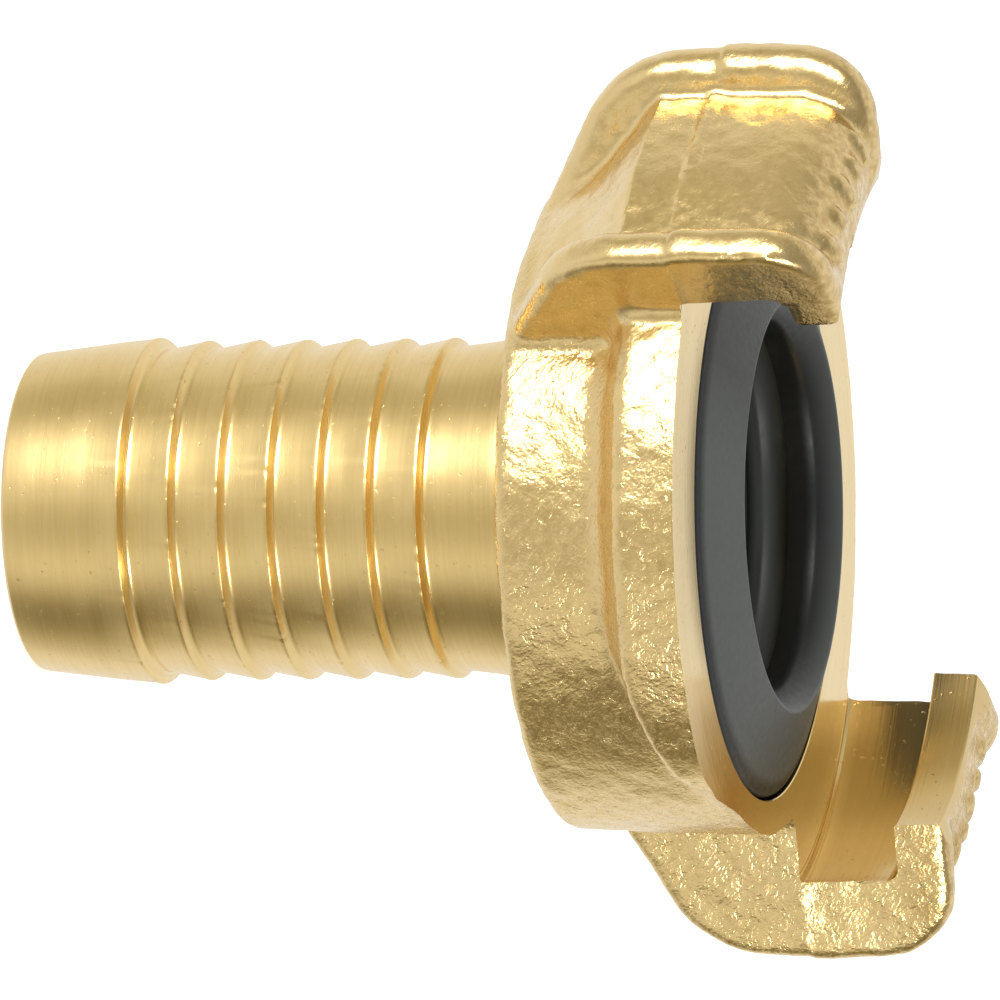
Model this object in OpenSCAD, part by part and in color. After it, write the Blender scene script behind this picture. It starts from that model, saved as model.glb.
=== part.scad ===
// Claw coupling half with a barbed hose tail, in millimetres.
// It is one forged and turned brass body with one moulded seal ring pressed into its face.
// The axis is Z. The tail's end lies on Z = 0 and the mating face looks up.
// The first claw points along +X and the second along -X.

/* [Hose tail] */
// Diameter of the water way through the tail
bore_d = 15; // [10:0.5:16]
// Outside diameter at the tail's end
tail_end_d = 18.8; // [17.6:0.1:19.2]
// Diameter of the first barb's crest
first_crest_d = 20.4; // [19.8:0.1:21.4]
// Diameter of the other barbs' crests
crest_d = 20; // [19.4:0.1:21]
// Diameter at the foot of each barb
root_d = 19; // [18.2:0.1:19.2]
// Length from the tail's end to the first crest
lead_cone_len = 7.4; // [5:0.1:10]
// Number of barbs
barb_count = 7; // [3:1:9]
// Distance from one crest to the next
barb_pitch = 3; // [2.4:0.1:4]
// Width of the land on each crest
crest_land = 0.5; // [0.2:0.1:0.8]
// Length of the drop behind each crest
drop_len = 0.6; // [0.3:0.1:1]
// Length from the last crest to the flange
neck_len = 6.9; // [4:0.1:12]
// Diameter of the neck where it meets the flange
neck_d = 20.3; // [19.4:0.1:24]
// Radius of the fillet between the neck and the flange
neck_fillet_r = 1.4; // [0.5:0.1:3]
// Chamfer on the edges of the tail's end
end_chamfer = 0.4; // [0.1:0.1:0.8]

/* [Flange] */
// Diameter of the flange
flange_d = 38.4; // [37.5:0.1:40]
// Length of the flange, up to the mating face
flange_len = 11.6; // [10:0.1:16]
// Radius on the flange's rear edge
flange_edge_r = 0.7; // [0.2:0.1:1.5]

/* [Cam rims] */
// Diameter over the cam rims
rim_d = 45.1; // [43:0.1:46.4]
// Axial width of a cam rim
rim_w = 3.2; // [2:0.1:4.5]
// Axial length of the slope behind a cam rim
rim_slope_len = 1.4; // [0.5:0.1:3]
// Angle from a claw's centre to where its rim's lead-in begins
rim_lead_start = 83; // [60:1:95]
// Angle from a claw's centre to the end of its rim
rim_end = 115; // [106:1:126]
// Angle of the lead-in on the rim's rear side, from the face's plane
rim_lead_angle = 29; // [15:1:40]
// Angle of the run-out on the rim's outside, from its tangent
rim_run_out = 20; // [16:1:40]

/* [Claws] */
// Clear distance between the two claws' lips
lug_distance = 40; // [39:0.1:42]
// Diameter of the groove behind the lips
groove_d = 47; // [46:0.1:49]
// Width of the slot between the mating face and the lips
slot_w = 5.9; // [4.5:0.1:8]
// Radius in the slot's outer corners
slot_corner_r = 0.8; // [0.2:0.1:1.2]
// Thickness of a lip along the axis
lip_w = 3.2; // [2.4:0.1:4.5]
// Length of the lip's straight inner face
lip_land = 2.6; // [1:0.1:4]
// Angle of the cone in front of it, from the face's plane
lip_lead_angle = 16; // [10:1:45]
// Diameter over the claws' ribs
claw_d = 57.4; // [55:0.1:60]
// Angle between a claw's two end faces
claw_angle = 41; // [30:0.1:50]
// Width of each rounded rib along a claw's edges
rib_w = 2.6; // [2:0.1:3.6]
// Depth of the pocket between the ribs
pocket_depth = 2.3; // [0.8:0.1:3]
// Height of the forging's parting plane above the mating face
parting_h = 0.3; // [0.1:0.1:2]
// Height of the step at the parting plane
parting_step = 0.2; // [0.1:0.05:0.5]
// Radius of the claws' outer front corner
front_corner_r = 4.2; // [2.4:0.1:5]
// Radius of the claws' outer rear corner
rear_corner_r = 3.6; // [2.4:0.1:5]
// Angle of the ribs' rear slope from the axis
rear_slope = 62; // [50:1:70]
// Distance from the flange's rear face to the foot of the ribs
claw_foot = 0.9; // [0.8:0.1:3]

/* [Seal] */
// Diameter of the seal recess at the mating face
recess_d = 34.5; // [32:0.1:36]
// Depth of the seal recess
recess_depth = 5; // [4:0.1:6]
// Axial length of the recess's collar, in front of the undercut
collar_len = 1.6; // [0.8:0.1:2.4]
// Radial depth of the undercut that holds the seal
undercut = 0.6; // [0.2:0.1:1]
// Radial clearance between the seal and its recess
seal_clearance = 0.15; // [0.05:0.05:0.4]
// Height of the seal's crest above the mating face
seal_crest_h = 1.7; // [0.8:0.1:3]
// Diameter of the seal's crest
seal_crest_d = 24; // [23.2:0.1:28]
// Diameter of the opening through the seal
seal_bore_d = 21.6; // [19.4:0.1:22]
// Depth of the funnel from the seal's crest to its opening
seal_funnel = 1.4; // [0.6:0.1:2]
// Radial depth of the relief groove inside the seal
seal_relief = 1.8; // [0.5:0.1:3]

/* [Hidden] */
brass = [0.80, 0.66, 0.38];
rubber = [0.17, 0.19, 0.20];
$fn = 96;
bore_r = bore_d / 2;
flange_r = flange_d / 2;
rim_r = rim_d / 2;
groove_r = groove_d / 2;
lip_r = lug_distance / 2;
claw_r = claw_d / 2;
rib_r = rib_w / 2;
last_crest_z = lead_cone_len + (barb_count - 1) * barb_pitch;
flange_z = last_crest_z + neck_len;
face_z = flange_z + flange_len;
parting_z = face_z + parting_h;
slot_z = face_z + slot_w;
front_z = slot_z + lip_w;
recess_z = face_z - recess_depth;
undercut_top = face_z - collar_len;
recess_r = recess_d / 2;
undercut_r = recess_r + undercut;
// The water way widens into the recess by as much as this throat is long
throat_len = 1.5;
throat_r = bore_r + throat_len;
undercut_slope = 0.4;
// How far the middle of a barb's drop stands out, so that its root is rounded
drop_bulge = 0.15;
drop_middle = 0.6;
// Stock that the turning takes off the forging
machining = 0.5;
// How far a cut runs past what it cuts, and the size of the blocks that cut the rims
clear = 1;
block = 30;
// How far the rims, the claws' cores and the ribs reach into the flange
rim_root = 1.2;
core_root = 0.8;
rib_root = 1.9;
rim_h = rim_r - flange_r;
// Angle from a claw's centre to its rim's start, which lies inside the claw
rim_start = 5;
foot_z = flange_z + claw_foot;
floor_r = claw_r - pocket_depth;
rib_root_x = flange_r - rib_root;
// The pocket's slope starts a little above the foot of the ribs
pocket_rise = 0.3;
pocket_slope = 43;
// The claw's front between its ribs lies a little behind their crests
front_step = 0.2;
core_z = front_z - front_step;
// Flats that make up a rib's half round crest
rib_steps = 10;
// Share of a rib's depth that its web laps over
web_share = 0.65;
// The core ends inside its ribs
rib_overlap_angle = 2.5;
// The lip's cone is cut to just above the claw's front
lip_lead = lip_w - lip_land + machining;
// The seal's outer edge, its sink below the mating face and the rounding of its crest
seal_edge_r = 0.5;
seal_sink = 0.3;
seal_crest_r = 0.4;
// Angles of the seal's outer cone and of its funnel, as the directions that they face
seal_cone_faces = 70;
seal_funnel_faces = 130;
// Width of the lands on either side of the seal's relief groove, and of the slopes beside it
seal_land = 1;
relief_top_slope = 0.8;
relief_base_slope = 0.6;

function arc(cx, cy, r, from, to, steps) =
    [for (i = [0:steps]) let (a = from + (to - from) * i / steps) [cx + r * cos(a), cy + r * sin(a)]];

// Outline of one barb, as radius and height
function barb(i) =
    let (z = lead_cone_len + i * barb_pitch)
    let (r = (i == 0 ? first_crest_d : crest_d) / 2)
    let (drop = [root_d / 2 + drop_bulge, z + drop_len * drop_middle])
    [[r, z - crest_land], [r, z], drop, [root_d / 2, z + drop_len]];

// The tail, the neck and the flange, turned about the axis
module turned_blank() {
    neck_r = neck_d / 2;
    rotate_extrude()
        polygon(concat(
            [[0, 0], [tail_end_d / 2 - end_chamfer, 0], [tail_end_d / 2, end_chamfer]],
            [for (i = [0:barb_count - 1]) each barb(i)],
            arc(neck_r + neck_fillet_r, flange_z - neck_fillet_r, neck_fillet_r, 180, 90, 6),
            arc(flange_r - flange_edge_r, flange_z + flange_edge_r, flange_edge_r, -90, 0, 5),
            [[flange_r, face_z + machining], [0, face_z + machining]]
        ));
}

// One raised cam rim, from inside its claw to its run-out
module cam_rim() {
    difference() {
        rotate([0, 0, rim_start])
            rotate_extrude(angle = rim_end - rim_start)
                polygon([
                    [flange_r - rim_root, face_z - rim_w - rim_slope_len * (1 + rim_root / rim_h)],
                    [rim_r, face_z - rim_w],
                    [rim_r, face_z + machining],
                    [flange_r - rim_root, face_z + machining]
                ]);
        rim_lead_in();
        rim_end_cut();
    }
}

// Flat cut that slopes the rim's rear side up to the mating face
module rim_lead_in() {
    rotate([0, 0, rim_lead_start])
        translate([flange_r, 0, face_z - rim_w - rim_slope_len])
            rotate([rim_lead_angle, 0, 0])
                translate([0, 0, -block])
                    cube([rim_r, block, block]);
}

// Flat cut that brings the rim's outside down to the flange
module rim_end_cut() {
    rotate([0, 0, rim_end])
        translate([flange_r, 0, face_z - block / 2])
            rotate([0, 0, rim_run_out])
                translate([0, -block, 0])
                    cube([block, 2 * block, block]);
}

// Cross section of a rib: flat sides and a half round crest, reaching in by a depth
module rib_section(depth) {
    polygon(concat(
        [[0, -rib_r], [depth, -rib_r]],
        arc(depth, 0, rib_r, -90 + 180 / rib_steps, 90 - 180 / rib_steps, rib_steps - 2),
        [[depth, rib_r], [0, rib_r]]
    ));
}

// A straight stretch of a rib in the plane of X and Z, with its crest to the right of its way
module rib_straight(start, end, depth) {
    along = end - start;
    translate([start.x, 0, start.y])
        rotate([0, atan2(along.x, along.y), 0])
            linear_extrude(norm(along))
                rib_section(depth);
}

// A curved stretch of it, about a centre
module rib_bend(centre, depth, from, to) {
    translate([centre.x, 0, centre.y])
        rotate([90, 0, 0])
            rotate([0, 0, from])
                rotate_extrude(angle = to - from)
                    rib_section(depth);
}

// The flat inside of a rib, which laps over the inner part of its section
module rib_web(outline) {
    rotate([90, 0, 0])
        linear_extrude(rib_w, center = true)
            polygon(outline);
}

// The rib behind the parting plane: up the rear slope, round the corner and along the top
module rear_rib() {
    top_x = claw_r - parting_step;
    corner_z = foot_z + (top_x - flange_r) / tan(rear_slope) + rear_corner_r * tan(rear_slope / 2);
    depth = rear_corner_r - rib_r;
    centre = [top_x - rear_corner_r, corner_z];
    run = (centre.x + depth * cos(rear_slope) - rib_root_x) / sin(rear_slope);
    start = centre - run * [sin(rear_slope), cos(rear_slope)];
    rib_straight(start, centre, depth);
    rib_bend(centre, depth, -rear_slope, 0);
    rib_straight(centre, [centre.x, parting_z], depth);
    lap = depth * web_share;
    rib_web([
        start + lap * [cos(rear_slope), -sin(rear_slope)],
        centre + lap * [1, -tan(rear_slope / 2)],
        [centre.x + lap, parting_z],
        [start.x, parting_z]
    ]);
}

// The rib in front of it: along the top, round the front corner and in along the front face
module front_rib() {
    depth = front_corner_r - rib_r;
    centre = [claw_r - front_corner_r, front_z - front_corner_r];
    rib_straight([centre.x, parting_z], centre, depth);
    rib_bend(centre, depth, 0, 90);
    rib_straight(centre, [rib_root_x, centre.y], depth);
    lap = depth * web_share;
    rib_web([
        [rib_root_x, parting_z],
        [centre.x + lap, parting_z],
        centre + [lap, lap],
        [rib_root_x, centre.y + lap]
    ]);
}

// The claw between its ribs: a sloped back, the pocket's floor and the rounded front
module claw_core() {
    span = claw_angle - 2 * rib_overlap_angle;
    back_z = foot_z + pocket_rise;
    floor_z = back_z + (floor_r - parting_step - flange_r) / tan(pocket_slope);
    rotate([0, 0, -span / 2])
        rotate_extrude(angle = span)
            polygon(concat(
                [[flange_r - core_root, back_z - core_root / tan(pocket_slope)]],
                [[floor_r - parting_step, floor_z], [floor_r - parting_step, parting_z]],
                [[floor_r, parting_z]],
                arc(floor_r - front_corner_r, core_z - front_corner_r, front_corner_r, 0, 90, 8),
                [[flange_r - core_root, core_z]]
            ));
}

module claw() {
    claw_core();
    for (side = [-1, 1])
        rotate([0, 0, side * claw_angle / 2])
            translate([0, -side * rib_r, 0]) {
                rear_rib();
                front_rib();
            }
}

// The turned space between the claws: the slot with its groove, and the way in past the lips
module mating_space() {
    rotate_extrude()
        polygon(concat(
            [[0, face_z]],
            [[groove_r, face_z]],
            arc(groove_r - slot_corner_r, slot_z - slot_corner_r, slot_corner_r, 0, 90, 4),
            [[lip_r, slot_z], [lip_r, slot_z + lip_land]],
            [[lip_r + lip_lead / tan(lip_lead_angle), slot_z + lip_land + lip_lead]],
            [[0, slot_z + lip_land + lip_lead]]
        ));
}

// The water way, the throat and the seal's recess with its undercut
module water_way() {
    rotate_extrude()
        polygon([
            [0, -clear],
            [bore_r + end_chamfer + clear, -clear],
            [bore_r, end_chamfer],
            [bore_r, recess_z - throat_len],
            [throat_r, recess_z],
            [undercut_r, recess_z],
            [undercut_r, undercut_top - undercut_slope],
            [recess_r, undercut_top],
            [recess_r, face_z + clear],
            [0, face_z + clear]
        ]);
}

module coupling_body() {
    color(brass)
        difference() {
            union() {
                turned_blank();
                for (turn = [0, 180])
                    rotate([0, 0, turn]) {
                        cam_rim();
                        claw();
                    }
            }
            mating_space();
            water_way();
        }
}

module seal_ring() {
    base_r = undercut_r - seal_clearance;
    neck_r = recess_r - seal_clearance;
    crest_z = face_z + seal_crest_h;
    crest_r = seal_crest_d / 2;
    hole_r = seal_bore_d / 2;
    relief_r = hole_r + seal_relief;
    mouth_z = crest_z - seal_funnel;
    edge_z = face_z - seal_sink - seal_edge_r;
    color(rubber)
        rotate_extrude()
            polygon(concat(
                [[hole_r, recess_z], [base_r, recess_z]],
                [[base_r, undercut_top - undercut_slope - seal_clearance]],
                [[neck_r, undercut_top - seal_clearance]],
                arc(neck_r - seal_edge_r, edge_z, seal_edge_r, 0, seal_cone_faces, 4),
                arc(crest_r, crest_z - seal_crest_r, seal_crest_r, seal_cone_faces, seal_funnel_faces, 4),
                [[hole_r, mouth_z], [hole_r, mouth_z - seal_land]],
                [[relief_r, mouth_z - seal_land - relief_top_slope]],
                [[relief_r, recess_z + seal_land + relief_base_slope], [hole_r, recess_z + seal_land]]
            ));
}

coupling_body();
seal_ring();
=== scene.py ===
"""Looks of the claw hose coupling: a forged and turned brass body and its moulded rubber seal."""

import math

import bpy
import numpy as np
from mathutils import Matrix, Vector


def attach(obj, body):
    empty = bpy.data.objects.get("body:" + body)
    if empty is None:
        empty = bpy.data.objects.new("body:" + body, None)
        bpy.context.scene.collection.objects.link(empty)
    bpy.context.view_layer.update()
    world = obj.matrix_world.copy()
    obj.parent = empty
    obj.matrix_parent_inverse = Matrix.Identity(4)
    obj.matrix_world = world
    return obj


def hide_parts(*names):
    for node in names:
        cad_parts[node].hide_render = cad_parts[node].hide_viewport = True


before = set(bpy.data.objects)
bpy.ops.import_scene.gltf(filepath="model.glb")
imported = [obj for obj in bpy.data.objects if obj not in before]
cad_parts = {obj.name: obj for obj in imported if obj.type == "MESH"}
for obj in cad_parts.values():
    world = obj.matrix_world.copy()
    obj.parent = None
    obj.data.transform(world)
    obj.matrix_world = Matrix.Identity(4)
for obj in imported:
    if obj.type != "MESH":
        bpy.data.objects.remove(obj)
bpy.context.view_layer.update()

# Sizes in millimetres, in the part's frame: the axis is Z and the first claw points along +X
MM = 0.001
FLANGE_Z = 32.3
RECESS_Z = 38.9
UNDERCUT_Z = 41.9
FACE_Z = 43.9
PARTING_Z = 44.2
SLOT_Z = 49.8
FRONT_Z = 53.0
BORE_R = 7.5
THROAT_R = 9.0
RECESS_R = 17.25
UNDERCUT_R = 17.85
FLANGE_R = 19.3
LIP_R = 20.0
GROOVE_R = 23.5
# The forging's walls lean in by these shares of the distance from the parting line
FLANGE_DRAFT = 0.035
END_DRAFT = 0.025
# What the forging has over the face for turning
STOCK = 1.0
# Rims and claws reach in to this radius, inside the flange
INNER_R = 17.0

# The tail's barbs
BARBS = 7
BARB_PITCH = 3.0
FIRST_CREST_Z = 7.4
FIRST_CREST_R = 10.2
CREST_R = 10.0
ROOT_R = 9.5
TAIL_END_R = 9.4
NECK_R = 10.15

# The cam rims, with angles from the middle of the claw that each rim starts in
RIM_R = 22.55
RIM_REAR_Z = 40.4
RIM_REAR_RISE = 0.5
RIM_LEAD_Z = 39.5
RIM_LEAD_ANGLE = math.radians(84.0)
RIM_LEAD_SLOPE = math.radians(30.0)
RIM_END_ANGLE = math.radians(116.0)
RIM_END_SLOPE = math.radians(21.0)

# The claws: two ribs with a sunk back between them, and relief on the front
CLAW_R = 28.57
CLAW_FLOOR_R = 26.1
CLAW_ROOT_R = 19.2
CLAW_HALF_ANGLE = math.radians(20.5)
CLAW_REACH = math.radians(60.0)
CLAW_REAR_Z = 33.2
CLAW_REAR_SLOPE = math.radians(43.0)
CLAW_FRONT_SINK = 0.36
HOLLOW_Z = 36.8
FAINT_RIDGE_Z = 40.45
RIDGE_Z = 43.35
END_OVERSIZE = 0.14
TIP_R = 22.2
RIB_W = 2.6
RIB_SINK = 0.22
RIB_REAR_Z = 32.8
RIB_REAR_SLOPE = math.radians(62.0)
RELIEF_R = 23.4
RELIEF_Z = 50.0
RELIEF_STEP = math.radians(5.6)
RELIEF_HEIGHT = 0.34
RELIEF_HALF_W = 0.7
# Steps that the two dies left at the parting line: on the ribs' crests, the claws' ends and the sunk backs
RIB_DIE_STEP = 0.2
END_DIE_STEP = 0.09
FLOOR_DIE_STEP = 0.15
DIE_STEP_W = 0.3

# The seal
SEAL_CLEARANCE = 0.15
SEAL_HOLE_R = 10.8
SEAL_RELIEF_R = 12.6

# The grid that the forging's surface is found on
CELL = 0.29
GRID_LOW = (-29.2, -23.6, 31.5)
GRID_HIGH = (29.2, 23.6, 54.2)
# The forged skin's unevenness, as depths, wavelengths and seeds, and how much it is sunk for that
SKIN = ((0.04, 4.5, 1), (0.022, 1.7, 2), (0.012, 0.8, 3))
SKIN_SINK = 0.03
# A distance that stands for nothing being near
FAR = 9.0


def round_max(a, b, radius):
    """The larger of two distances, with a rounded corner where they meet: an intersection."""
    u = np.maximum(a + radius, 0.0)
    v = np.maximum(b + radius, 0.0)
    return np.minimum(np.maximum(a, b), -radius) + np.sqrt(u * u + v * v)


def round_min(a, b, radius):
    """The smaller of two distances, with a fillet where they meet: a union."""
    return -round_max(-a, -b, radius)


def ease(t):
    """A smooth step from 0 to 1."""
    t = np.clip(t, 0.0, 1.0)
    return t * t * (3.0 - 2.0 * t)


def bell(z, middle, width):
    """A smooth hump of height 1."""
    return np.exp(-((z - middle) / width) ** 2)


def ripple(p, wavelength, seed):
    """A smooth uneven field between about -1 and 1, from waves in random directions."""
    rng = np.random.default_rng(seed)
    waves = 14
    total = np.zeros(len(p))
    for _ in range(waves):
        way = rng.normal(size=3)
        way *= 2 * math.pi / (wavelength * rng.uniform(0.7, 1.5) * np.linalg.norm(way))
        total += np.sin(p @ way + rng.uniform(0, 2 * math.pi))
    return total / math.sqrt(waves)


def flange(r, z):
    drafted = FLANGE_R - FLANGE_DRAFT * np.maximum(PARTING_Z - z, 0.0)
    return round_max(round_max(r - drafted, FLANGE_Z - z, radius=0.7), z - FACE_Z - STOCK, radius=0.1)


def cam_rim(r, angle, z):
    """One raised rim, from inside its claw to where it runs out."""
    past_claw = angle > CLAW_REACH
    # The factor brings the slanted rear near to a true distance
    rear = (RIM_REAR_Z - (RIM_R - r) * RIM_REAR_RISE - z) * 0.9
    along = r * np.sin(angle - RIM_LEAD_ANGLE)
    lead = (RIM_LEAD_Z + along * math.tan(RIM_LEAD_SLOPE) - z) * math.cos(RIM_LEAD_SLOPE)
    lead = np.where(past_claw, lead, -FAR)
    past_end = angle - RIM_END_ANGLE
    end = (r * np.cos(past_end) - FLANGE_R) * math.cos(RIM_END_SLOPE)
    end = end + r * np.sin(past_end) * math.sin(RIM_END_SLOPE)
    outside = round_max(r - RIM_R, end, radius=3.0)
    under = round_max(rear, lead, radius=2.5)
    start = np.maximum(np.where(past_claw, -FAR, -r * np.sin(angle)), INNER_R - r)
    rim = round_max(round_max(outside, under, radius=0.5), z - FACE_Z - STOCK, radius=0.1)
    return np.maximum(rim, start)


def past_parting(z):
    """0 behind the parting line and 1 in front of it."""
    return ease((z - PARTING_Z + 0.2) / DIE_STEP_W)


def rib(u, z, v, end_face):
    """A rounded rib along one end of a claw. u is the distance out, v the distance in from the end face."""
    back_taper, front_taper, front_taper_z = 0.02, 0.05, 46.5
    rear = (u - CLAW_ROOT_R) * math.cos(RIB_REAR_SLOPE) - (z - RIB_REAR_Z) * math.sin(RIB_REAR_SLOPE)
    top = u - (CLAW_R - RIB_SINK + RIB_DIE_STEP * past_parting(z))
    top = top + back_taper * np.maximum(PARTING_Z - z, 0.0)
    top = top + front_taper * np.maximum(z - front_taper_z, 0.0)
    outline = round_max(round_max(rear, top, radius=3.4), z - FRONT_Z + 0.05, radius=4.2)
    return round_max(round_max(outline, v - RIB_W, radius=1.5), end_face, radius=0.75)


def relief(core, r, angle, z):
    """A plain row of short raised bars across a claw's front."""
    bars = np.full(len(r), FAR)
    for i in range(-2, 3):
        along = np.abs(r * np.sin(angle - i * RELIEF_STEP)) - RELIEF_HALF_W
        half_length = 1.3 if i % 2 == 0 else 0.9
        bars = np.minimum(bars, round_max(along, np.abs(r - RELIEF_R) - half_length, radius=0.6))
    return round_max(np.maximum(core - RELIEF_HEIGHT, RELIEF_Z - z), bars, radius=0.6)


def claw(r, angle, z, first):
    """One hooked claw, by angles from its middle. first is true for the points near the first claw."""
    inset = END_DRAFT * np.abs(z - PARTING_Z) - END_OVERSIZE
    step = END_DIE_STEP * past_parting(z)
    depths = []
    faces = []
    for side in (-1, 1):
        v = r * np.sin(CLAW_HALF_ANGLE - side * angle)
        depths.append(v - inset - step)
        faces.append(inset + step - v)
    rear = (r - CLAW_ROOT_R) * math.cos(CLAW_REAR_SLOPE) - (z - CLAW_REAR_Z) * math.sin(CLAW_REAR_SLOPE)
    # The claw's rear is a little hollow
    rear = rear + 0.4 * bell(z, HOLLOW_Z, 1.9)
    # A low ridge stands on the sunk back just behind the parting line, and a fainter one further back
    ridge = 0.28 * (ease((z - RIDGE_Z) / 0.25) - ease((z - PARTING_Z) / 0.25))
    ridge = ridge + 0.12 * bell(z, FAINT_RIDGE_Z, 0.3)
    front_step = FLOOR_DIE_STEP * ease((z - PARTING_Z) / DIE_STEP_W)
    floor = r - (CLAW_FLOOR_R - FLOOR_DIE_STEP + front_step + ridge)
    core = round_max(round_max(rear, floor, radius=0.15), z - FRONT_Z + CLAW_FRONT_SINK, radius=3.9)
    core = round_max(core, np.maximum(faces[0], faces[1]) + 1.0, radius=0.5)
    body = round_min(core, relief(core, r, angle, z), radius=0.15)
    for side, v, face in zip((-1, 1), depths, faces):
        u = r * np.cos(CLAW_HALF_ANGLE - side * angle)
        body = round_min(body, rib(u, z, v, face), radius=0.55)
    # The first claw's lip ends in a rounded tip on the side where its rim starts
    tip = round_max(LIP_R - 0.02 - r, np.minimum(SLOT_Z - z, TIP_R - r), radius=0.8)
    has_tip = first & (angle > 0.05) & (z > FACE_Z + 2.5)
    body = round_max(body, np.where(has_tip, tip, -FAR), radius=0.8)
    body = round_max(body, FLANGE_Z + 0.45 - z, radius=0.4)
    return np.maximum(body, INNER_R - r)


def forging(p):
    """Signed distance to the forged blank, before it is turned."""
    x, y, z = p[:, 0], p[:, 1], p[:, 2]
    r = np.hypot(x, y)
    # The two halves of a turn are alike. This is how far before its claw's middle each half starts
    wrap = math.radians(48.0)
    angle = np.mod(np.arctan2(y, x) + wrap, math.pi) - wrap
    near_claw = np.abs(angle) < CLAW_REACH
    # The rim dies away softly where it runs out
    fillet = 0.9
    rim_fillet = fillet + 1.8 * ease((angle - math.radians(94.0)) / math.radians(10.0))
    body = round_min(flange(r, z), cam_rim(r, angle, z), rim_fillet)
    hook = np.where(near_claw, claw(r, np.where(near_claw, angle, 0.5), z, x > 0), FAR)
    return round_min(body, hook, fillet)


def slopes(p, step=0.02):
    """The field's gradient at each point."""
    parts = []
    for axis in range(3):
        shift = np.zeros(3)
        shift[axis] = step
        parts.append((forging(p + shift) - forging(p - shift)) / (2 * step))
    return np.stack(parts, axis=1)


def surface_net(low, high, cell):
    """Vertices and quads of the forging's surface, from its field on a grid."""
    axes = [np.arange(a, b + cell, cell) for a, b in zip(low, high)]
    grid = np.stack(np.meshgrid(*axes, indexing="ij"), axis=-1)
    shape = grid.shape[:3]
    field = forging(grid.reshape(-1, 3)).reshape(shape)
    inside = field < 0
    cells = tuple(n - 1 for n in shape)
    corners = [(i, j, k) for i in (0, 1) for j in (0, 1) for k in (0, 1)]
    count = np.zeros(cells, int)
    for i, j, k in corners:
        count += inside[i:i + cells[0], j:j + cells[1], k:k + cells[2]]
    where = np.argwhere((count > 0) & (count < len(corners)))
    number = np.full(cells, -1)
    number[tuple(where.T)] = np.arange(len(where))
    # Each cell that the surface passes gets a vertex, at the mean of its crossings with the cell's edges
    total = np.zeros((len(where), 3))
    hits = np.zeros(len(where))
    for axis in range(3):
        for start in corners:
            if start[axis]:
                continue
            stop = list(start)
            stop[axis] = 1
            a = field[tuple((where + start).T)]
            b = field[tuple((where + stop).T)]
            crosses = (a < 0) != (b < 0)
            point = np.tile(np.array(start, float), (len(where), 1))
            point[:, axis] = np.where(crosses, a / np.where(crosses, a - b, 1.0), 0.0)
            total += point * crosses[:, None]
            hits += crosses
    verts = np.array(low) + cell * (where + total / hits[:, None])
    # Each grid edge that the surface crosses gets a quad, between the four cells around it
    quads = []
    for axis in range(3):
        b, c = (axis + 1) % 3, (axis + 2) % 3
        span = [slice(None)] * 3
        span[axis] = slice(0, -1)
        ahead = [slice(None)] * 3
        ahead[axis] = slice(1, None)
        here, there = inside[tuple(span)], inside[tuple(ahead)]
        edges = np.argwhere(here != there)
        within = (edges[:, b] > 0) & (edges[:, c] > 0) & (edges[:, b] < cells[b]) & (edges[:, c] < cells[c])
        edges = edges[within]
        outward = here[tuple(edges.T)]
        ring = []
        for db, dc in ((-1, -1), (0, -1), (0, 0), (-1, 0)):
            beside = edges.copy()
            beside[:, b] += db
            beside[:, c] += dc
            ring.append(number[tuple(beside.T)])
        ring = np.stack(ring, axis=1)
        ring[~outward] = ring[~outward][:, ::-1]
        quads.append(ring)
    return verts, np.concatenate(quads)


def forged_blank():
    """The forging as a mesh, pulled onto its true surface and then roughened a little."""
    verts, quads = surface_net(GRID_LOW, GRID_HIGH, CELL)
    longest_move = 0.3 * CELL
    for _ in range(3):
        grade = slopes(verts)
        size = np.maximum((grade * grade).sum(1), 0.2)
        move = -grade * (forging(verts) / size)[:, None]
        length = np.linalg.norm(move, axis=1)
        move *= np.minimum(1.0, longest_move / np.maximum(length, 1e-9))[:, None]
        verts = verts + move
    grade = slopes(verts)
    normal = grade / np.maximum(np.linalg.norm(grade, axis=1), 1e-9)[:, None]
    rough = sum(depth * ripple(verts, wavelength, seed) for depth, wavelength, seed in SKIN) - SKIN_SINK
    # The first claw's end above its rim is smoother than the rest
    x, y, z = verts.T
    from_end = np.hypot(x, y) * np.sin(CLAW_HALF_ANGLE - np.arctan2(y, x))
    smooth = (x > 0) & (np.abs(from_end) < 0.35) & (z > FACE_Z - 4)
    rough = np.where(smooth, 0.3 * rough, rough)
    verts = verts + normal * rough[:, None]
    verts[:, 2] = np.minimum(verts[:, 2], FRONT_Z - 0.01)
    return new_mesh("forged_blank", verts, quads)


def new_mesh(name, verts, faces):
    mesh = bpy.data.meshes.new(name)
    mesh.from_pydata([tuple(v) for v in verts], [], [tuple(int(i) for i in f) for f in faces])
    mesh.update()
    made = bpy.data.objects.new(name, mesh)
    bpy.context.scene.collection.objects.link(made)
    return made


def arc(cx, cz, r, start, end, steps):
    """Points on an arc, by angles in degrees."""
    turn = [math.radians(start + (end - start) * i / steps) for i in range(steps + 1)]
    return [(cx + r * math.cos(t), cz + r * math.sin(t)) for t in turn]


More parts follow.
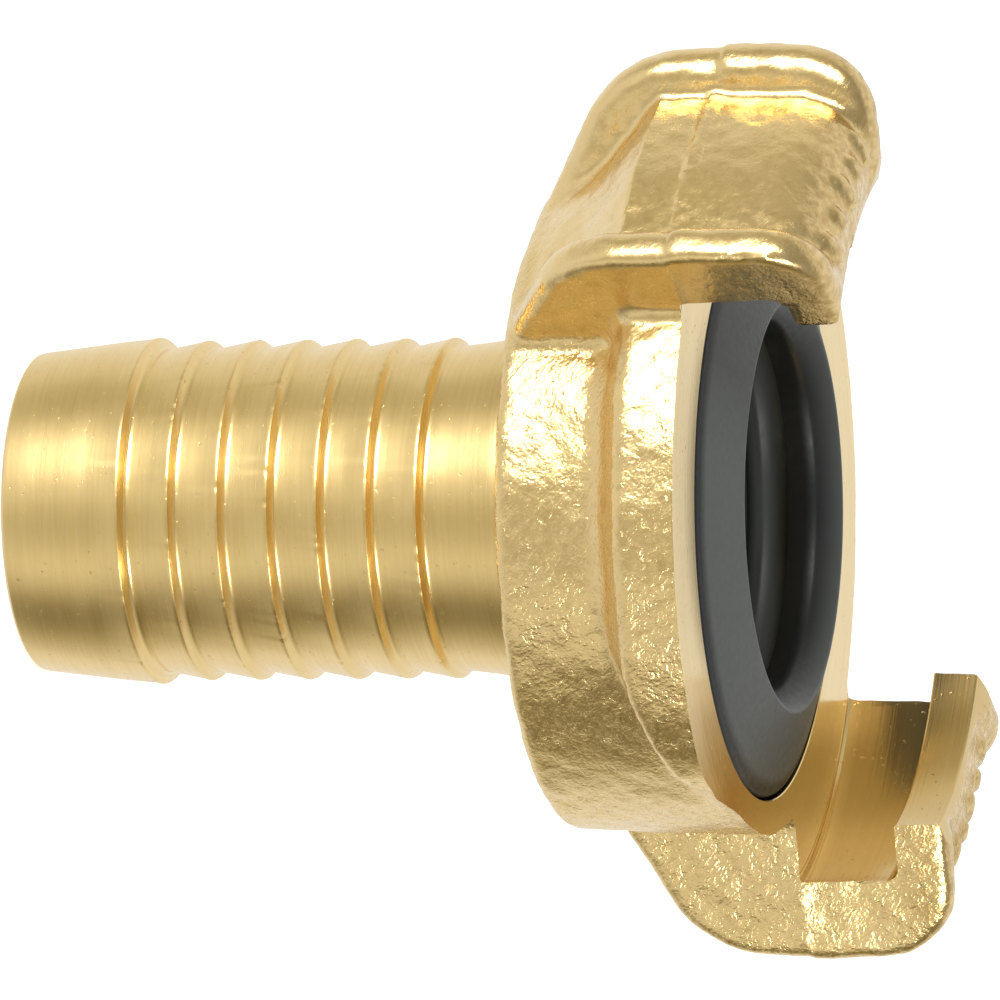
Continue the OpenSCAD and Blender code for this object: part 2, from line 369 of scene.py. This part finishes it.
def revolve(name, profile, segments, dent=None):
    """A closed body of revolution. Its profile, as (radius, height), ends on the axis twice or is a loop."""
    angles = 2 * math.pi * np.arange(segments) / segments
    verts = []
    rings = []
    for radius, height in profile:
        if radius == 0:
            rings.append([len(verts)] * segments)
            verts.append((0.0, 0.0, height))
            continue
        rings.append(range(len(verts), len(verts) + segments))
        depth = dent(angles, radius, height) if dent else np.zeros(segments)
        reach = radius - depth
        verts.extend(zip(reach * np.cos(angles), reach * np.sin(angles), np.full(segments, height)))
    if profile[0][0] > 0:
        rings.append(rings[0])
    faces = []
    for low, up in zip(rings, rings[1:]):
        for i in range(segments):
            j = (i + 1) % segments
            # On the axis two corners are the same vertex, and the face is a triangle
            faces.append(tuple(dict.fromkeys((low[i], low[j], up[j], up[i]))))
    return new_mesh(name, verts, faces)


def barb_profile(i):
    """One barb, from its sharp crest down to its foot."""
    z = FIRST_CREST_Z + BARB_PITCH * i
    r = FIRST_CREST_R if i == 0 else CREST_R
    edge = 0.05
    return (
        [(r - edge, z - 0.32), (r, z - 0.2)]
        + arc(r - edge, z - 0.07, edge, 0, 80, 3)
        + [(ROOT_R + 0.2, z + 0.18), (ROOT_R + 0.06, z + 0.3), (ROOT_R + 0.02, z + 0.4)]
        + [(ROOT_R + 0.03, z + 0.55)]
    )


def tail_profile():
    """The tail's end, its barbs, the neck and the fillet under the flange, closed inside the flange."""
    land_z, land_rise, land_length = 0.42, 0.76, 6.36
    neck_fillet = 1.45
    points = [(0, 0), (9.0, 0), (9.12, 0.03), (9.34, 0.2), (TAIL_END_R, land_z)]
    points += [(TAIL_END_R + land_rise * t, land_z + land_length * t) for t in (0.25, 0.5, 0.75)]
    for i in range(BARBS):
        points += barb_profile(i)
    points += [(9.75, FIRST_CREST_Z + BARB_PITCH * BARBS - 0.6), (10.0, 29.3), (NECK_R, 30.6)]
    points += arc(NECK_R + neck_fillet, 30.85, neck_fillet, 180, 93, 8)
    points += [(13.0, 32.28), (13.06, 32.36), (13.0, 35.0), (0, 35.0)]
    return points


def mating_profile():
    """What is turned for the other half: the face with a fine line, the groove and the lips."""
    corner = 0.75
    return (
        [(0, FACE_Z), (22.9, FACE_Z), (22.95, FACE_Z - 0.04), (23.0, FACE_Z)]
        + [(GROOVE_R - 0.15, FACE_Z), (GROOVE_R, FACE_Z + 0.15)]
        + arc(GROOVE_R - corner, SLOT_Z - corner, corner, 0, 90, 6)
        + [(LIP_R + 0.12, SLOT_Z), (LIP_R, SLOT_Z + 0.12)]
        + [(LIP_R, SLOT_Z + 2.55), (LIP_R + 0.08, SLOT_Z + 2.66)]
        + [(LIP_R + 4.4, SLOT_Z + 3.9), (0, SLOT_Z + 3.9)]
    )


def water_profile():
    """The water way, the throat and the seal's undercut recess."""
    return [
        (0, -1), (9.0, -1), (7.9, 0.08), (BORE_R, 0.42), (BORE_R, 37.4), (THROAT_R, RECESS_Z),
        (UNDERCUT_R, RECESS_Z), (UNDERCUT_R, UNDERCUT_Z), (RECESS_R, UNDERCUT_Z + 0.4),
        (RECESS_R, FACE_Z - 0.06), (RECESS_R + 0.06, FACE_Z + 0.02), (17.4, FACE_Z + 1), (0, FACE_Z + 1),
    ]


def seal_profile():
    """The moulded seal, from its base round its outside, over the crest and back down its bore."""
    foot_r = UNDERCUT_R - SEAL_CLEARANCE
    edge_r = RECESS_R - SEAL_CLEARANCE
    edge_round = 0.5
    points = [(SEAL_HOLE_R, RECESS_Z), (foot_r - 0.1, RECESS_Z), (foot_r, RECESS_Z + 0.1)]
    points += [(foot_r, UNDERCUT_Z - 0.2), (17.05, 42.2), (edge_r, 42.95)]
    points += arc(edge_r - edge_round, 43.45, edge_round, 0, 71, 8)
    points += arc(12.15, 45.3, 0.3, 72, 140, 6)
    points += [(11.3, 44.8), (10.92, 44.33), (SEAL_HOLE_R, 44.15), (SEAL_HOLE_R, 43.6)]
    points += [(10.9, 42.6), (12.4, 42.3), (SEAL_RELIEF_R, 42.1)]
    points += [(SEAL_RELIEF_R, 40.7), (12.4, 40.5), (10.9, 40.1), (SEAL_HOLE_R, 40.0)]
    return points


def nicks(angles, radius, height):
    """The depth of small dents on the barbs' crests, and of the lathe's slight unevenness there."""
    i = round((height - FIRST_CREST_Z) / BARB_PITCH)
    from_crest = abs(height - (FIRST_CREST_Z + BARB_PITCH * i))
    if from_crest >= 0.25 or not 0 <= i < BARBS or radius < ROOT_R + 0.25:
        return np.zeros(len(angles))
    # Each barb takes its own slice through the uneven fields
    slice_z = np.full(len(angles), 7.0 * i)
    around = np.stack([CREST_R * np.cos(angles), CREST_R * np.sin(angles), slice_z], axis=1)
    dents = np.maximum(ripple(around, 0.5, 30) - 0.6, 0.0)
    return 0.01 * ripple(around, 2.5, 31) + 0.045 * dents


def combine(target, tool, operation):
    """Joins a tool to the target or takes it away, and removes the tool."""
    boolean = target.modifiers.new("combine", "BOOLEAN")
    boolean.operation = operation
    boolean.solver = "MANIFOLD"
    boolean.object = tool
    bpy.context.view_layer.objects.active = target
    with bpy.context.temp_override(object=target, active_object=target):
        bpy.ops.object.modifier_apply(modifier="combine")
    bpy.data.objects.remove(tool)


def build_body():
    body = forged_blank()
    combine(body, revolve("tail", tail_profile(), 360, nicks), "UNION")
    combine(body, revolve("mating_space", mating_profile(), 320), "DIFFERENCE")
    combine(body, revolve("water_way", water_profile(), 256), "DIFFERENCE")
    body.name = "brass_body"
    return body


def to_metres(piece, sharp_angle):
    """Scales a piece to metres and shades it smooth but for edges sharper than an angle in degrees."""
    piece.data.transform(Matrix.Scale(MM, 4))
    piece.data.shade_smooth()
    piece.data.set_sharp_from_angle(angle=math.radians(sharp_angle))


def distance_to(profile, r, z):
    """Distance in the plane of radius and height from points to a profile's lines."""
    best = np.full(len(r), np.inf)
    p = np.stack([r, z], axis=1)
    for a, b in zip(profile, profile[1:]):
        a, b = np.array(a, float), np.array(b, float)
        along = b - a
        t = np.clip(((p - a) @ along) / max(along @ along, 1e-12), 0, 1)
        gap = p - a - t[:, None] * along
        best = np.minimum(best, np.hypot(gap[:, 0], gap[:, 1]))
    return best


def mark_turned(piece):
    """Gives the second material to the faces that lie on a turned surface."""
    mesh = piece.data
    centre = np.zeros(len(mesh.polygons) * 3)
    mesh.polygons.foreach_get("center", centre)
    x, y, z = centre.reshape(-1, 3).T
    r = np.hypot(x, y)
    gap = np.minimum(distance_to(mating_profile(), r, z), distance_to(water_profile(), r, z))
    on_tail = (distance_to(tail_profile(), r, z) < 0.03) & (z < FLANGE_Z + 0.05)
    turned = (gap < 0.025) | on_tail | (z < FLANGE_Z - 0.3)
    mesh.polygons.foreach_set("material_index", turned.astype(np.int32))


class Nodes:
    """Short calls for building a node tree."""

    def __init__(self, tree):
        self.tree = tree

    def put(self, socket, value):
        """Links a node's output to a socket, or sets the socket's own value."""
        if isinstance(value, bpy.types.NodeSocket):
            self.tree.links.new(value, socket)
        else:
            socket.default_value = value

    def add(self, kind, inputs=None, **settings):
        node = self.tree.nodes.new(kind)
        for key, value in settings.items():
            setattr(node, key, value)
        for key, value in (inputs or {}).items():
            self.put(node.inputs[key], value)
        return node

    def compute(self, operation, a, b=0.0, clamp=False):
        return self.add("ShaderNodeMath", {0: a, 1: b}, operation=operation, use_clamp=clamp).outputs[0]

    def noise(self, vector, scale, detail=3.0, roughness=0.5):
        inputs = {"Vector": vector, "Scale": scale, "Detail": detail, "Roughness": roughness}
        return self.add("ShaderNodeTexNoise", inputs).outputs[0]

    def ramp(self, value, low, high, to_low=0.0, to_high=1.0):
        inputs = {"Value": value, "From Min": low, "From Max": high, "To Min": to_low, "To Max": to_high}
        return self.add("ShaderNodeMapRange", inputs).outputs[0]

    def mix(self, share, a, b):
        """A colour between two. The mix node's sockets for colours are 6, 7 and 2."""
        return self.add("ShaderNodeMix", {0: share, 6: a, 7: b}, data_type="RGBA").outputs[2]

    def bump(self, height, strength, distance, normal=None):
        inputs = {"Height": height, "Strength": strength, "Distance": distance}
        if normal is not None:
            inputs["Normal"] = normal
        return self.add("ShaderNodeBump", inputs).outputs[0]

    def place(self):
        """The point on the piece, in metres, with its three coordinates."""
        point = self.add("ShaderNodeTexCoord").outputs["Object"]
        return point, *self.add("ShaderNodeSeparateXYZ", {0: point}).outputs

    def radius(self, x, y):
        squares = self.compute("ADD", self.compute("MULTIPLY", x, x), self.compute("MULTIPLY", y, y))
        return self.compute("SQRT", squares)


def new_material(name):
    """A material, the calls for its nodes and its shader's sockets."""
    material = bpy.data.materials.new(name)
    material.use_nodes = True
    tree = material.node_tree
    return material, Nodes(tree), tree.nodes["Principled BSDF"].inputs


BRASS = (0.86, 0.65, 0.31, 1.0)
# Stains, grime and dirt take this colour, and so does the painted shade in the turned groove
BRASS_STAIN_AND_SHADE = (0.55, 0.38, 0.15, 1.0)


def forged_brass():
    """Brass with a tumbled forged skin: grain, short strokes, pits and stains."""
    material, kit, shader = new_material("brass_forged")
    place, x, _, z = kit.place()
    broad = kit.noise(place, scale=220.0)
    grain = kit.noise(place, scale=1900.0, roughness=0.6)
    fine = kit.noise(place, scale=4500.0, detail=2.0)
    stretch = {"Vector": place, "Rotation": (0.9, 0.4, 0.3), "Scale": (1.0, 1.0, 4.5)}
    slanted = kit.add("ShaderNodeMapping", stretch, vector_type="TEXTURE").outputs[0]
    strokes = kit.ramp(kit.noise(slanted, scale=4200.0, detail=2.0), 0.52, 0.72)
    stain = kit.ramp(kit.noise(place, scale=700.0, detail=4.0, roughness=0.65), 0.56, 0.75)
    pits = kit.ramp(kit.noise(place, scale=1300.0, roughness=0.6), 0.6, 0.74)
    tone = kit.mix(kit.ramp(broad, 0.3, 0.7), BRASS, (0.83, 0.635, 0.32, 1.0))
    colour = kit.mix(kit.compute("MULTIPLY", stain, 0.5), tone, BRASS_STAIN_AND_SHADE)
    # Grime stays between the raised bars on the claws' fronts
    front = kit.ramp(z, 49.2 * MM, 51.2 * MM)
    grime = kit.compute("MULTIPLY", front, kit.ramp(grain, 0.35, 0.6, 0.15, 0.75))
    kit.put(shader["Base Color"], kit.mix(grime, colour, BRASS_STAIN_AND_SHADE))
    kit.put(shader["Metallic"], 1.0)
    kit.put(shader["Roughness"], kit.ramp(grain, 0.3, 0.7, 0.18, 0.31))
    height = kit.compute("MULTIPLY", grain, 0.5)
    for layer, depth in ((fine, 0.18), (strokes, 0.13), (pits, -0.3)):
        height = kit.compute("ADD", height, kit.compute("MULTIPLY", layer, depth))
    # The first claw came smoother out of the die
    coarse = kit.ramp(x, 18.8 * MM, 20.5 * MM, 1.0, 0.36)
    height = kit.compute("MULTIPLY", height, coarse)
    kit.put(shader["Normal"], kit.bump(height, strength=0.6, distance=0.2 * MM))
    return material


def turned_brass():
    """Bright brass with turning lines, a few specks and painted shade in the groove."""
    material, kit, shader = new_material("brass_turned")
    place, x, y, z = kit.place()
    # Turning lines hardly change round the axis
    around = kit.compute("MULTIPLY", kit.compute("ARCTAN2", y, x), 0.4 * MM)
    flat = kit.add("ShaderNodeCombineXYZ", {0: kit.radius(x, y), 1: around, 2: z}).outputs[0]
    lines = kit.noise(flat, scale=5200.0, detail=2.0, roughness=0.6)
    wide = kit.noise(flat, scale=900.0, detail=2.0)
    dirt = kit.ramp(kit.noise(place, scale=900.0, detail=4.0, roughness=0.7), 0.62, 0.78)
    specks = kit.ramp(kit.noise(place, scale=2800.0, roughness=0.6), 0.66, 0.74)
    tone = kit.mix(kit.ramp(lines, 0.3, 0.7), (0.86, 0.65, 0.305, 1.0), (0.81, 0.6, 0.26, 1.0))
    colour = kit.mix(kit.compute("MULTIPLY", dirt, 0.25), tone, BRASS_STAIN_AND_SHADE)
    # Painted shade: the turned surfaces above the face, in the groove behind the lips and on the lips, are
    # darkened halfway to the stained colour
    colour = kit.mix(kit.ramp(z, 44.2 * MM, 44.9 * MM, 0.0, 0.5), colour, BRASS_STAIN_AND_SHADE)
    kit.put(shader["Base Color"], kit.mix(kit.compute("MULTIPLY", specks, 0.6), colour, BRASS_STAIN_AND_SHADE))
    kit.put(shader["Metallic"], 1.0)
    # The lines spread a highlight across themselves
    kit.put(shader["Anisotropic"], 0.4)
    kit.put(shader["Anisotropic Rotation"], 0.25)
    tangent = kit.add("ShaderNodeTangent", direction_type="RADIAL", axis="Z")
    kit.put(shader["Tangent"], tangent.outputs[0])
    # The tail is duller than the face
    dull = kit.ramp(z, 31.0 * MM, 34.0 * MM, 0.1, 0.0)
    kit.put(shader["Roughness"], kit.compute("ADD", kit.ramp(wide, 0.3, 0.7, 0.15, 0.21), dull))
    normal = kit.bump(lines, strength=0.25, distance=0.02 * MM)
    normal = kit.bump(wide, strength=0.2, distance=0.02 * MM, normal=normal)
    sunk = kit.compute("MULTIPLY", specks, -1.0)
    kit.put(shader["Normal"], kit.bump(sunk, strength=0.4, distance=0.03 * MM, normal=normal))
    return material


def moulded_rubber():
    """Dark grey rubber with a little dust on its cone, and painted shade that darkens its bore and round its
    rim.
    """
    material, kit, shader = new_material("seal_rubber")
    place, x, y, _ = kit.place()
    grain = kit.noise(place, scale=2600.0, roughness=0.6)
    dust = kit.ramp(kit.noise(place, scale=1900.0, detail=5.0, roughness=0.75), 0.66, 0.8)
    radius = kit.radius(x, y)
    # Painted shade: the deep bore and the gap round the rim are darkened nearly to black
    bore_shade = kit.ramp(radius, 12.1 * MM, 11.0 * MM)
    rim = kit.ramp(radius, 15.9 * MM, 16.5 * MM)
    cone = kit.mix(kit.compute("MULTIPLY", dust, 0.3), (0.056, 0.061, 0.058, 1.0), (0.2, 0.2, 0.18, 1.0))
    colour = kit.mix(kit.compute("MAXIMUM", bore_shade, rim), cone, (0.004, 0.005, 0.005, 1.0))
    kit.put(shader["Base Color"], colour)
    kit.put(shader["Specular IOR Level"], 0.35)
    kit.put(shader["Roughness"], kit.ramp(grain, 0.3, 0.7, 0.38, 0.5))
    kit.put(shader["Normal"], kit.bump(grain, strength=0.25, distance=0.03 * MM))
    return material


def white_floor():
    """A floor that the camera sees a little brighter, so that it is white with a faint shadow."""
    material, kit, shader = new_material("floor_white")
    kit.put(shader["Base Color"], (0.9, 0.9, 0.9, 1.0))
    kit.put(shader["Roughness"], 0.9)
    kit.put(shader["Specular IOR Level"], 0.0)
    kit.put(shader["Emission Color"], (1.0, 1.0, 1.0, 1.0))
    seen = kit.add("ShaderNodeLightPath").outputs["Is Camera Ray"]
    kit.put(shader["Emission Strength"], kit.compute("MULTIPLY", seen, 0.5))
    return material


# Camera: it looks 14.8 degrees down at the upright part, rolled so that the axis lies level
ALOFT = Vector((0.0, 0.0, 1.0))
AIM = Vector((0.0, 0.0, 25.45)) * MM
CAMERA_DISTANCE = 1.018
CAMERA_TURN = math.radians(50.25)
CAMERA_HEIGHT = math.radians(14.79)
CAMERA_ROLL = math.radians(0.51)
PIXELS = 1000.0
FOCAL_PIXELS = 17350.0
AIM_PIXEL = (460.6, 508.1)
SENSOR = 36.0


def add_camera():
    """Adds the camera and gives the direction from the part to it."""
    back = Vector((
        math.cos(CAMERA_HEIGHT) * math.cos(CAMERA_TURN),
        math.cos(CAMERA_HEIGHT) * math.sin(CAMERA_TURN),
        math.sin(CAMERA_HEIGHT),
    ))
    right = (ALOFT - back * back.z).normalized()
    up = back.cross(right).normalized()
    roll = Matrix.Rotation(-CAMERA_ROLL, 3, back)
    right, up = roll @ right, roll @ up
    # The picture's middle lies beside the pixel that the camera aims at
    aim_right = (PIXELS / 2 - AIM_PIXEL[0]) / FOCAL_PIXELS
    aim_up = (AIM_PIXEL[1] - PIXELS / 2) / FOCAL_PIXELS
    look = (-back + right * aim_right + up * aim_up).normalized()
    right = (right - look * right.dot(look)).normalized()
    up = (-look).cross(right).normalized()
    data = bpy.data.cameras.new("camera")
    data.sensor_width = SENSOR
    data.lens = FOCAL_PIXELS / PIXELS * SENSOR
    data.clip_start = 0.01
    data.clip_end = 100.0
    camera = bpy.data.objects.new("camera", data)
    bpy.context.scene.collection.objects.link(camera)
    turned = Matrix((right, up, -look)).transposed().to_4x4()
    camera.matrix_world = Matrix.Translation(AIM + back * CAMERA_DISTANCE) @ turned
    bpy.context.scene.camera = camera
    return back


def soft_light(name, direction, distance, width, height, power):
    """A soft box that faces the part from a direction. Its width runs along the part's axis."""
    data = bpy.data.lights.new(name, "AREA")
    data.shape = "RECTANGLE"
    data.size = width
    data.size_y = height
    data.energy = power
    light = bpy.data.objects.new(name, data)
    bpy.context.scene.collection.objects.link(light)
    direction = direction.normalized()
    x = (ALOFT - direction * ALOFT.dot(direction)).normalized()
    y = direction.cross(x)
    turned = Matrix((x, y, direction)).transposed().to_4x4()
    light.matrix_world = Matrix.Translation(AIM + direction * distance) @ turned


# Brightness of the studio around the part, by the angle round its axis from the camera's side.
# Positive angles are towards the top of the picture, where the large soft box hangs.
STUDIO_TONES = (
    (-180, 0.95), (-131, 0.95), (-114, 0.64), (-100, 0.38), (-90, 0.21), (-76, 0.17), (-66, 0.32),
    (-56, 0.6), (-46, 0.82), (-34, 0.8), (-22, 0.6), (-10, 0.53), (0, 0.57), (12, 0.78),
    (62, 0.8), (78, 0.48), (95, 0.54), (118, 0.84), (150, 0.95), (180, 0.95),
)


def studio_world():
    """The studio that the brass reflects. The camera itself sees white."""
    world = bpy.data.worlds.new("studio")
    world.use_nodes = True
    kit = Nodes(world.node_tree)
    way = kit.add("ShaderNodeTexCoord").outputs["Generated"]
    x, y, z = kit.add("ShaderNodeSeparateXYZ", {0: way}).outputs
    cos_turn, sin_turn = math.cos(CAMERA_TURN), math.sin(CAMERA_TURN)
    toward = kit.compute("ADD", kit.compute("MULTIPLY", x, cos_turn), kit.compute("MULTIPLY", y, sin_turn))
    across = kit.compute("MULTIPLY", y, cos_turn)
    above = kit.compute("SUBTRACT", kit.compute("MULTIPLY", x, sin_turn), across)
    angle = kit.compute("ARCTAN2", above, toward)
    share = kit.compute("ADD", kit.compute("DIVIDE", angle, 2 * math.pi), 0.5)
    tones = kit.add("ShaderNodeValToRGB", {0: share})
    tones.color_ramp.interpolation = "EASE"
    stops = tones.color_ramp.elements
    stops.remove(stops[0])
    stops[0].position = 0.0
    for degrees, tone in STUDIO_TONES:
        position = degrees / 360.0 + 0.5
        stop = stops.new(position) if position > 0.0 else stops[0]
        # Darker tones are warmer
        stop.color = (tone, tone ** 1.1, tone ** 1.5, 1.0)
    # Straight above and below, the studio is even
    steep = kit.compute("POWER", kit.compute("ABSOLUTE", z), 3.0)
    colour = kit.mix(steep, tones.outputs[0], (0.85, 0.85, 0.85, 1.0))
    # Out in front of the face on the camera's side, the studio is darker
    in_front = kit.compute("MULTIPLY", kit.compute("SUBTRACT", z, 0.35), 2.8, clamp=True)
    near_side = kit.compute("MULTIPLY", kit.compute("ADD", toward, 0.4), 2.2, clamp=True)
    colour = kit.mix(kit.compute("MULTIPLY", in_front, near_side), colour, (0.4, 0.4, 0.38, 1.0))
    seen = kit.add("ShaderNodeLightPath").outputs["Is Camera Ray"]
    colour = kit.mix(seen, colour, (1.0, 1.0, 1.0, 1.0))
    kit.put(world.node_tree.nodes["Background"].inputs["Color"], colour)
    bpy.context.scene.world = world


def studio(back):
    """The lights and the world. back is the direction from the part to the camera."""
    level = Vector((back.x, back.y, 0.0)).normalized()
    across = level.cross(ALOFT)

    def toward(angle, height):
        """A direction, by its angle round the axis from the camera's side and its height in degrees."""
        a, h = math.radians(angle), math.radians(height)
        return (level * math.cos(a) + across * math.sin(a)) * math.cos(h) + ALOFT * math.sin(h)

    soft_light("key", toward(38, 9), distance=0.9, width=0.9, height=0.42, power=11.5)
    soft_light("spark", toward(-43, 24), distance=0.9, width=0.5, height=0.2, power=3.6)
    studio_world()
    bpy.context.scene.view_settings.view_transform = "Standard"


def add_floor():
    half = 3.0
    corners = [(-half, -half, 0), (half, -half, 0), (half, half, 0), (-half, half, 0)]
    floor = new_mesh("floor", corners, [(0, 1, 2, 3)])
    floor.data.materials.append(white_floor())
    # Bright metal low over a floor would mirror little else, so reflections and light pass through it
    floor.visible_glossy = False
    floor.visible_shadow = False


def place_piece(piece, nodes):
    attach(piece, "root")
    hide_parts(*nodes)


body = build_body()
body.data.materials.clear()
for material in (forged_brass(), turned_brass()):
    body.data.materials.append(material)
mark_turned(body)
to_metres(body, sharp_angle=33)
place_piece(body, ["coupling_body"])

seal = revolve("rubber_seal", seal_profile(), 256)
seal.data.materials.append(moulded_rubber())
to_metres(seal, sharp_angle=50)
place_piece(seal, ["seal_ring"])

studio(add_camera())
add_floor()
